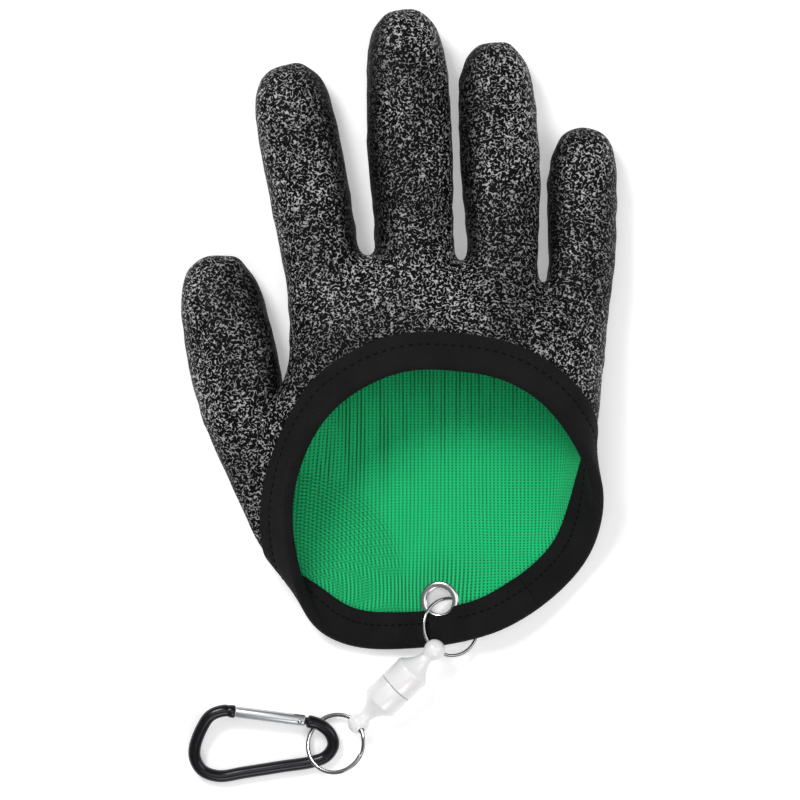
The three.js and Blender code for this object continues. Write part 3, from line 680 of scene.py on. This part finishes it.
class GLOVE_OT_shells(bpy.types.Operator):
    """Builds the rubber coating and the knit liner as two closed shells under one skin."""

    bl_idname = "glove.shells"
    bl_label = "Coating and liner"

    def execute(self, context):
        s = context.scene.glove_sizes
        p, n = SKIN.points, SKIN.normals
        rim = SKIN.points[SKIN.rim]
        away = np.min(np.linalg.norm(p[:, None] - rim[None, ::2], axis=2), axis=1)
        # Waves of the rubber, less than 0.7 mm either way, and none by the rim or on the floor
        free = smoothstep(away, 13 * MM, 26 * MM) * smoothstep(p[:, 2], 0.5 * MM, 5 * MM)
        wave = 0.42 * bumps(p, 3, 9, 26 * MM, 0.7, 1.4) + 0.2 * bumps(p, 5, 14, 8 * MM, 0.7, 1.3)
        outer = p + n * (free * 0.7 * np.tanh((wave - 0.2) / 0.7) * MM)[:, None]
        # The first value of the coating's map is painted shade on the sides of the fingers: it dims
        # the ridges' painted highlight there
        side_shade_uv = np.stack([self.side_shade(p, n), np.zeros(len(p))], axis=1)
        coating = shell_object("coating", SKIN, outer, n, s.coating * MM, side_shade_uv)
        dress(coating, rubber_material(), "glove", "coating", "latex_coating")

        # The liner follows the rubber, with small puckers and one fold round the thumb's base
        puckers = np.minimum(0.16 * bumps(p, 11, 12, 9 * MM, 0.7, 1.4), 0.1)
        face = outer - n * (s.liner_depth * MM)
        face = face + n * (smoothstep(away, 9 * MM, 16 * MM) * puckers * MM)[:, None]
        gusset = np.hypot(p[:, 0] + 60 * MM, p[:, 1] + 44 * MM)
        fold = np.exp(-(((gusset - 49 * MM) / (2.2 * MM)) ** 2)) * smoothstep(away, 9 * MM, 20 * MM)
        low = p[:, 2] < 12 * MM
        face = face - n * (fold * low * 0.7 * MM)[:, None]
        liner = shell_object("liner", SKIN, face, n, s.liner * MM, self.knit_map(p, n))
        dress(liner, knit_material(), "glove", "knit", "knit_liner")
        return {"FINISHED"}

    @staticmethod
    def side_shade(p, n):
        """How much of the ridges' painted highlight stays, from nought to one: little on the +X sides
        of the thumb and index finger and on the -X sides of the others, which paints shade on those
        sides, and all of it elsewhere."""
        x, y = p[:, 0], p[:, 1]
        thumb = (x < -35 * MM) & (y < 46 * MM)
        index = (x < -13 * MM) & ~thumb
        side = np.where(thumb | index, 1.0, -1.0) * n[:, 0]
        reach = np.where(thumb, smoothstep(y, -25 * MM, 0), smoothstep(y, 28 * MM, 50 * MM))
        return 1 - 0.85 * smoothstep(side, 0.25, 0.8) * reach

    @staticmethod
    def knit_map(p, n):
        """Wales run along the glove: U follows X and climbs the sides with Z, V follows Y."""
        rise = p[:, 2] * np.sign(n[:, 0]) * smoothstep(np.abs(n[:, 0]), 0.2, 0.9)
        bend = 5 * MM * smoothstep(-p[:, 1], 0, 60 * MM) * smoothstep(-p[:, 0], 0, 50 * MM)
        return np.stack([p[:, 0] + rise + bend, p[:, 1] + 2 * bend], axis=1)


class GLOVE_OT_tape(bpy.types.Operator):
    """Folds the tape over the rim of both shells, with a row of stitches on each face."""

    bl_idname = "glove.tape"
    bl_label = "Tape and stitches"

    def execute(self, context):
        s = context.scene.glove_sizes
        stations = 480
        rim, run = resample(SKIN.points[SKIN.rim], stations)
        rim = around(rim, 3)
        found = [SKIN.tree.find_nearest(q) for q in rim.tolist()]
        normal = unit(around(np.array([f[1] for f in found]), 6))
        along = unit(np.roll(rim, -1, 0) - np.roll(rim, 1, 0))
        inward = unit(np.cross(normal, along))
        ahead, back = (
            np.mean([SKIN.tree.find_nearest(q)[3] for q in (rim + step * inward).tolist()])
            for step in (3 * MM, -3 * MM)
        )
        if ahead > back:
            inward = -inward
        lengths = np.linspace(0, s.tape_width, 25) * MM
        walk, normals = SKIN.along_surface(rim, inward, normal, lengths)
        self.tape(s, walk, normals, lengths, rim, normal, inward, run)
        self.stitches(s, walk, normals, lengths, run)
        return {"FINISHED"}

    def tape(self, s, walk, normals, lengths, rim, normal, inward, run):
        """The section: up the outer face, over the fold, down the inner face and back under."""
        wall = (s.liner_depth + s.liner) * MM
        thick = s.tape * MM
        near = 0.03 * MM
        width = lengths[-1]
        stations = walk.shape[1]
        turn = np.linspace(0, 2 * np.pi * run / (s.stitch_pitch * MM), stations, endpoint=False)
        edge = [(1.0, 0.0), (1.012, 0.35), (1.008, 0.8), (0.985, 1.0)]
        centre = rim - normal * (wall / 2)

        def outer(share):
            """Points and normals of the outer face at a share of the width, past its end too."""
            k = min(share, 1.0) * (len(lengths) - 1)
            i = min(int(k), len(lengths) - 2)
            f = k - i
            p = walk[i] * (1 - f) + walk[i + 1] * f
            n = normals[i] * (1 - f) + normals[i + 1] * f
            ahead = unit(walk[-1] - walk[-2]) * max(share - 1.0, 0) * width
            return p + ahead, unit(n)

        def dip(share, reach):
            """One at the stitch line, and nought well past its reach in millimetres."""
            off = (1 - share) * s.tape_width - s.stitch_inset
            return math.exp(-((off / reach) ** 2))

        def fold(a, radius, bulge):
            """The round of the fold, which comes out by the bulge for its radius."""
            return centre + normal * (radius * math.cos(a)) - inward * (radius * bulge * math.sin(a))

        rows = [(a, near + b * (thick - near)) for a, b in edge]
        rows += [(a, thick * (1 - 0.22 * dip(a, 0.7))) for a in np.linspace(0.95, 0.0, 20)]
        parts, across = [], []
        for share, height in rows:
            p, n = outer(share)
            ripple = 0.05 * MM * np.sin(turn)[:, None] * dip(share, 2.2)
            parts.append(p + n * (height + (ripple if height > 0.5 * thick else 0)))
            across.append((1 - share) * s.tape_width * MM)
        half = (wall + 2 * thick) / 2
        for a in np.linspace(0, math.pi, 15)[1:-1]:
            parts.append(fold(a, half, 0.82))
            across.append(width + half * a)
        for share, height in rows[::-1]:
            p, n = outer(share)
            parts.append(p - n * (wall + height))
            across.append(width + half * math.pi + share * width)
        # Back under: the face of the tape that lies on the liner, the fold and the coating
        for share in np.linspace(0.9, 0.0, 10):
            p, n = outer(share)
            parts.append(p - n * (wall + near))
        parts += [fold(a, wall / 2 + near, 0.4) for a in np.linspace(math.pi, 0, 7)]
        for share in np.linspace(0.1, 0.9, 9):
            p, n = outer(share)
            parts.append(p + n * near)
        across += [0] * (len(parts) - len(across))
        points = above_floor(np.array(parts))
        sections = len(parts)
        u = np.broadcast_to(np.linspace(0, run, stations, endpoint=False), (sections, stations))
        v = np.broadcast_to(np.array(across)[:, None], (sections, stations))
        uv = np.stack([u, v], axis=-1).reshape(-1, 2)
        faces = grid_faces(sections, stations, wrap_rows=True, wrap_columns=True)
        piece = close_ends("tape", points.reshape(-1, 3), faces, uv)
        h = bpy.context.scene.glove_hardware
        centre, normal = plane_of("eyelet")[1:]
        hole = h.eyelet_hole / 2 + 0.5
        cut_out(piece, [turned("drill", rod_profile(hole, 8), centre, normal, 48)])
        dress(piece, tape_material(), "glove", "tape", "rim_binding")

    def stitches(self, s, walk, normals, lengths, run):
        """Short rounded dashes along the stitch line on both faces, each of seven rings of eight
        points. There are none by the eyelet."""
        wall = (s.liner_depth + s.liner) * MM
        count = int(run / (s.stitch_pitch * MM))
        k = (1 - s.stitch_inset / s.tape_width) * (len(lengths) - 1)
        i, f = int(k), k - int(k)
        line = walk[i] * (1 - f) + walk[i + 1] * f
        normal = unit(normals[i] * (1 - f) + normals[i + 1] * f)
        stations = len(line)
        at = np.arange(count) * stations / count
        j, g = at.astype(int), (at % 1)[:, None]
        place = line[j] * (1 - g) + line[(j + 1) % stations] * g
        up = unit(normal[j] * (1 - g) + normal[(j + 1) % stations] * g)
        way = unit(line[(j + 2) % stations] - line[j - 2])
        across = np.cross(up, way)
        eyelet = plane_of("eyelet")[1]
        flange = bpy.context.scene.glove_hardware.eyelet_flange / 2
        clear = np.linalg.norm(place - eyelet, axis=1) > (flange + 1.6) * MM
        place, up, way, across = place[clear], up[clear], way[clear], across[clear]
        count = len(place)
        h = np.linspace(-1, 1, 7)
        a = np.linspace(0, 2 * np.pi, 8, endpoint=False)
        fat = np.sqrt(np.clip(1 - np.abs(h) ** 3, 0, 1))
        half, r = s.stitch * MM / 2, s.thread * MM / 2
        arch = -0.25 * MM * h**2
        faces, points = [], []
        quads = grid_faces(len(h), len(a), wrap_columns=True)
        for side, lift in ((1, s.tape * MM * 0.86), (-1, -(wall + s.tape * MM * 0.86))):
            centre = place + up * lift
            p = centre[:, None, None] + way[:, None, None] * (h * half)[None, :, None, None]
            wide = (np.cos(a) * r)[None, None, :, None] * fat[None, :, None, None]
            high = (np.sin(a) * 0.7 * r)[None, None, :, None] * fat[None, :, None, None]
            p = p + across[:, None, None] * wide
            p = p + side * up[:, None, None] * (high + arch[None, :, None, None])
            start = len(points) * count * len(h) * len(a)
            block = np.arange(count)[:, None, None] * len(h) * len(a) + quads[None]
            faces.append(block.reshape(-1, 4) + start)
            points.append(p.reshape(-1, 3))
        piece = close_ends("tape_stitches", above_floor(np.vstack(points)), np.vstack(faces))
        dress(piece, thread_material(), "glove", "tape")


class GLOVE_OT_rings(bpy.types.Operator):
    """Builds the rolled eyelet, the plain ring through it and the split ring."""

    bl_idname = "glove.rings"
    bl_label = "Eyelet and rings"

    def execute(self, context):
        h = context.scene.glove_hardware
        c = context.scene.glove_colours
        centre, normal = plane_of("eyelet")[1:]
        rim, hole = h.eyelet_flange / 2, h.eyelet_hole / 2
        span = np.ptp((points_of("eyelet") - centre) @ normal) / MM / 2
        roll, bead = (rim - hole) / 2, 0.62
        a = np.linspace(-0.15 * math.pi, math.pi, 14)
        top = [(hole + roll + roll * math.cos(x), span - bead + bead * math.sin(x)) for x in a]
        profile = top + [(r, -z) for r, z in top[::-1]]
        profile.append(profile[0])
        eyelet = turned("eyelet_roll", profile, centre, normal, 72)
        shiny = metal_material("eyelet_steel", c.steel, 0.2, 0.004)
        dress(eyelet, shiny, "glove", "eyelet_steel", "eyelet")

        steel = metal_material("ring_steel", [0.55 * x for x in c.steel[:3]] + [1], 0.16, 0.003)
        mean, _, normal = plane_of("glove_ring")
        t = np.linspace(0, 2 * np.pi, 120, endpoint=False)[:, None]
        path = circle(mean, normal, (h.ring_outer - h.ring_wire) / 2, t)
        wire = h.ring_wire / 2 * MM
        ring = tube("ring", path, wire, wire, normal, 16, closed=True)
        dress(ring, steel, "glove", "ring_steel", "glove_ring")

        mean, _, normal = plane_of("split_ring")
        flat = (points_of("split_ring") - mean) @ np.transpose(axes_round(normal))
        shift = (flat.min(0) + flat.max(0)) / 2
        centre = mean + shift @ np.array(axes_round(normal))
        t = np.linspace(0.35, 4 * np.pi - 0.35, 260)[:, None]
        step = (smoothstep(t, 2 * np.pi - 0.3, 2 * np.pi + 0.3) - 0.5) * (h.split_band + 0.08) * MM
        path = circle(centre, normal, (h.split_outer - h.split_wire) / 2, t) + step * normal
        wide, thick = h.split_wire / 2 * MM, h.split_band / 2 * MM
        split = tube("split_coil", path, wide, thick, normal, 16, power=0.7)
        dress(split, steel, "hanger", "split_steel", "split_ring")
        return {"FINISHED"}


class GLOVE_OT_clip(bpy.types.Operator):
    """Turns the two white halves of the release clip about their common axis."""

    bl_idname = "glove.clip"
    bl_label = "Release clip"

    def execute(self, context):
        h = context.scene.glove_hardware
        upper, lower = corners_of("clip_upper"), corners_of("clip_lower")
        middle = (upper.mean(0) + lower.mean(0)) / 2
        way = unit(lower.mean(0) - upper.mean(0))
        # The axis is found from the points of the two bodies alone, which are near the seam
        body_reach = 9.2 * MM
        for _ in range(4):
            near = [q[np.abs((q - middle) @ way) < body_reach] for q in (upper, lower)]
            middle = (near[0].mean(0) + near[1].mean(0)) / 2
            way = unit(near[1].mean(0) - near[0].mean(0))
        white = plastic_material()
        for name, side, body, node in (
            ("clip_half_upper", -1, "glove", "clip_upper"),
            ("clip_half_lower", 1, "hanger", "clip_lower"),
        ):
            half = turned(name, self.profile(h), middle, side * way, 56)
            self.bore(half, node, h)
            dress(half, white, body, "clip_plastic", node)
        return {"FINISHED"}

    @staticmethod
    def profile(h):
        """Radius and distance from the seam: seam edge, body, flared shoulder, neck and ball."""
        ball, neck, body = h.clip_ball / 2, h.clip_neck / 2, h.clip_body / 2
        far, end = h.ball_spacing / 2, h.clip_length / 2
        shoulder = far - ball
        knots = [
            (body - 0.35, 0.15), (body - 0.08, 0.25), (body, 0.55), (body, end - 1.2),
            (body - 0.12, end - 0.5), (body - 0.6, end - 0.05),
        ]
        t = np.linspace(0.08, 1, 16)
        flare = [
            (neck + (body - 0.6 - neck) * (1 - x) ** 1.9, end - 0.05 + x * (shoulder + 0.35 - end))
            for x in t
        ]
        start = math.acos(min(1, neck / ball))
        a = np.linspace(-start + 0.1, math.pi / 2, 16)
        cap = [(ball * math.cos(x), far + ball * math.sin(x)) for x in a]
        return [(0, 0.15)] + knots + flare + cap

    @staticmethod
    def bore(half, node, h):
        """Cuts the hole for the ring through the ball with a torus on the ring's own circle."""
        if node == "clip_upper":
            centre, _, normal = plane_of("glove_ring")
            radius = (h.ring_outer - h.ring_wire) / 2
        else:
            centre, normal = plane_of("split_ring")[1:]
            radius = (h.split_outer - h.split_wire) / 2
        t = np.linspace(0, 2 * np.pi, 96, endpoint=False)[:, None]
        path = circle(centre, normal, radius, t)
        cut_out(half, [tube("cutter", path, BORE * MM, BORE * MM, normal, 16, closed=True)])


class GLOVE_OT_hook(bpy.types.Operator):
    """Bends the black rod of the snap hook and adds its nose, collars and silver gate."""

    bl_idname = "glove.hook"
    bl_label = "Snap hook"

    def execute(self, context):
        h = context.scene.glove_hardware
        c = context.scene.glove_colours
        hinge = next(j for j in frame["record"]["behaviour"]["joints"] if j["name"] == "gate_hinge")
        normal = unit(np.array(hinge["axis"], dtype=float))
        x = unit(np.array([-normal[1], normal[0], 0]))
        y = np.cross(normal, x)
        # The rod's middle line from the nose round to the hinge, as shares of the hook's size
        route = [
            (0.343, 0.955), (0.259, 1), (0.161, 0.956), (0.083, 0.784), (0.01, 0.502), (0, 0.323),
            (0.04, 0.127), (0.147, 0.006), (0.336, 0), (0.6, 0), (0.838, 0), (0.937, 0.05),
            (1, 0.205), (0.991, 0.391), (0.925, 0.558), (0.843, 0.64),
        ]
        size = np.array([h.hook_length - h.hook_rod, h.hook_width - h.hook_rod])
        flat = np.array(route) * size
        nose, end = flat[0], flat[-1]
        way = unit(end - nose)
        pin = end - way * (h.gate_rod / 2 + 0.6)
        start = nose + way * 0.15
        base = np.array(hinge["pos_m"]) - (pin[0] * x + pin[1] * y) * MM

        def at(q):
            """Places in the hook's own plane, in millimetres, as places in metres."""
            return base + (q[..., 0:1] * x + q[..., 1:2] * y) * MM

        path = at(smooth_curve(flat, 190))
        black = metal_material("hook_black", c.black, 0.22, 0.003, 0.6)
        thick = self.collars(path, h.hook_rod / 2) * MM
        rod = tube("hook_rod", path, thick, thick, normal, 28)
        steps = np.linspace(0, 1, 12)[:, None]
        tongue = at((pin - way * 1.3) * (1 - steps) + (end + way * 0.4) * steps)
        lug = tube("hook_tongue", tongue, 1.3 * MM, 0.6 * MM, normal, 16, power=0.5)
        cut_out(lug, [turned("drill", rod_profile(PIN_HOLE, 4), at(pin), normal, 24)])
        dress(self.joined("hook_bar", rod, lug), black, "hanger", "hook_black", "hook_frame")

        silver = metal_material("gate_satin", c.gate, 0.34, 0.006)
        r, edge = h.gate_rod / 2, 0.8
        tall = np.linalg.norm(pin - start) + r
        tip = [(0, 0), (r - 0.3, 0), (r - 0.08, 0.08), (r, 0.3), (r, tall - 1.5)]
        ball = [
            (r - edge + edge * math.cos(a), tall - edge + edge * math.sin(a))
            for a in np.linspace(0, math.pi / 2, 8)
        ]
        axis = way[0] * x + way[1] * y
        gate = turned("gate_rod", [*tip, *ball, (0, tall)], at(start), axis, 40)
        path = at((pin - way * 2.2) * (1 - steps) + (pin + way * 4) * steps)
        slot = tube("slot", path, 4 * MM, 0.9 * MM, normal, 16, power=0.25)
        cut_out(gate, [slot, turned("drill", rod_profile(PIN_HOLE, 6), at(pin), normal, 24)])
        dress(gate, silver, "gate", "gate_aluminium", "hook_gate")

        head = [(0.55, 1.6), (0.62, 1.75), (0.5, 1.95), (0, 1.98)]
        rivet = turned("rivet", [(r, -z) for r, z in head[::-1]] + head, at(pin), normal, 24)
        shiny = metal_material("rivet_steel", c.steel, 0.3, 0.004)
        dress(rivet, shiny, "hanger", "pin_steel", "gate_pin")
        return {"FINISHED"}

    @staticmethod
    def collars(path, radius):
        """The rod's radius along it, in millimetres: a collar by each end, a groove behind the
        first and both ends drawn in."""
        run = np.linalg.norm(np.diff(path, axis=0), axis=1).cumsum() / MM
        s = np.concatenate([[0], run])
        thick = np.full(len(path), radius)
        thick += 0.12 * (np.exp(-((s - 1.0) / 0.8) ** 2) + np.exp(-((s - s[-1] + 1.2) / 1.1) ** 2))
        thick -= 0.16 * np.exp(-((s - 2.6) / 0.35) ** 2)
        thick[[0, -1]] -= 0.35
        return thick

    @staticmethod
    def joined(name, *parts):
        """One object out of several, which are deleted."""
        work = bmesh.new()
        for part in parts:
            work.from_mesh(part.data)
            bpy.data.objects.remove(part)
        mesh = bpy.data.meshes.new(name)
        work.to_mesh(mesh)
        work.free()
        mesh.set_sharp_from_angle(angle=SHARP)
        made = bpy.data.objects.new(name, mesh)
        bpy.context.collection.objects.link(made)
        return made


class GLOVE_OT_stage(bpy.types.Operator):
    """Lays the white floor and sets the camera straight above, the studio lamps and the world."""

    bl_idname = "glove.stage"
    bl_label = "Stage"

    def execute(self, context):
        scene = context.scene
        half = 3.0
        corners = [(-half, -half, 0), (half, -half, 0), (half, half, 0), (-half, half, 0)]
        floor = new_mesh("floor", corners, [(0, 1, 2, 3)])
        m = Nodes("white_floor")
        m.set(Base_Color=(0.93, 0.93, 0.93, 1), Roughness=0.9, Specular_IOR_Level=0.1)
        m.set(Emission_Color=(1, 1, 1, 1), Emission_Strength=0.3)
        floor.data.materials.append(m.material)

        distance, seen = 1.2, 0.272
        camera = bpy.data.cameras.new("camera")
        camera.sensor_width = 36
        camera.lens = 36 * distance / seen
        camera.clip_start = 0.05
        holder = bpy.data.objects.new("camera", camera)
        holder.location = (0.0003, -0.0011, distance + 0.01)
        scene.collection.objects.link(holder)
        scene.camera = holder

        lamps = (
            ("key", (-0.45, 0.6, 0.9), 0.35, 7.6),
            ("fill", (0.8, 0.1, 0.7), 0.5, 2.2),
            ("front", (0.1, -0.9, 0.7), 0.5, 3.0),
            ("above", (0.0, 0.0, 1.6), 0.9, 4.2),
        )
        for name, place, size, power in lamps:
            lamp = bpy.data.lights.new(name, "AREA")
            lamp.size = size
            lamp.energy = power
            made = bpy.data.objects.new(name, lamp)
            made.location = place
            x, y, z = place
            made.rotation_euler = (math.atan2(math.hypot(x, y), z), 0, math.atan2(-x, y) + math.pi)
            scene.collection.objects.link(made)
        world = scene.world or bpy.data.worlds.new("studio")
        scene.world = world
        world.use_nodes = True
        back = world.node_tree.nodes["Background"]
        back.inputs["Color"].default_value = (1, 1, 1, 1)
        back.inputs["Strength"].default_value = 0.2
        scene.view_settings.view_transform = "Standard"
        return {"FINISHED"}


class GLOVE_PT_panel(bpy.types.Panel):
    """Lists the steps and settings in the sidebar."""

    bl_label = "Fishing glove"
    bl_idname = "GLOVE_PT_panel"
    bl_space_type = "VIEW_3D"
    bl_region_type = "UI"
    bl_category = "Glove"

    def draw(self, context):
        for step in STEPS:
            self.layout.operator(step.bl_idname)
        for group in ("glove_sizes", "glove_hardware", "glove_colours"):
            settings = getattr(context.scene, group)
            box = self.layout.box()
            for name in settings.__annotations__:
                box.prop(settings, name)


STEPS = (GLOVE_OT_shells, GLOVE_OT_tape, GLOVE_OT_rings, GLOVE_OT_clip, GLOVE_OT_hook, GLOVE_OT_stage)
GROUPS = (GloveSizes, HardwareSizes, GloveColours)


def register():
    """Adds the settings, the steps and the panel."""
    for kind in (*GROUPS, *STEPS, GLOVE_PT_panel):
        bpy.utils.register_class(kind)
    bpy.types.Scene.glove_sizes = bpy.props.PointerProperty(type=GloveSizes)
    bpy.types.Scene.glove_hardware = bpy.props.PointerProperty(type=HardwareSizes)
    bpy.types.Scene.glove_colours = bpy.props.PointerProperty(type=GloveColours)


def unregister():
    """Takes them away again."""
    del bpy.types.Scene.glove_sizes
    del bpy.types.Scene.glove_hardware
    del bpy.types.Scene.glove_colours
    for kind in (GLOVE_PT_panel, *STEPS[::-1], *GROUPS[::-1]):
        bpy.utils.unregister_class(kind)


def main():
    """Runs every step in order."""
    register()
    bpy.ops.glove.shells()
    bpy.ops.glove.tape()
    bpy.ops.glove.rings()
    bpy.ops.glove.clip()
    bpy.ops.glove.hook()
    bpy.ops.glove.stage()


if __name__ == "__main__":
    main()
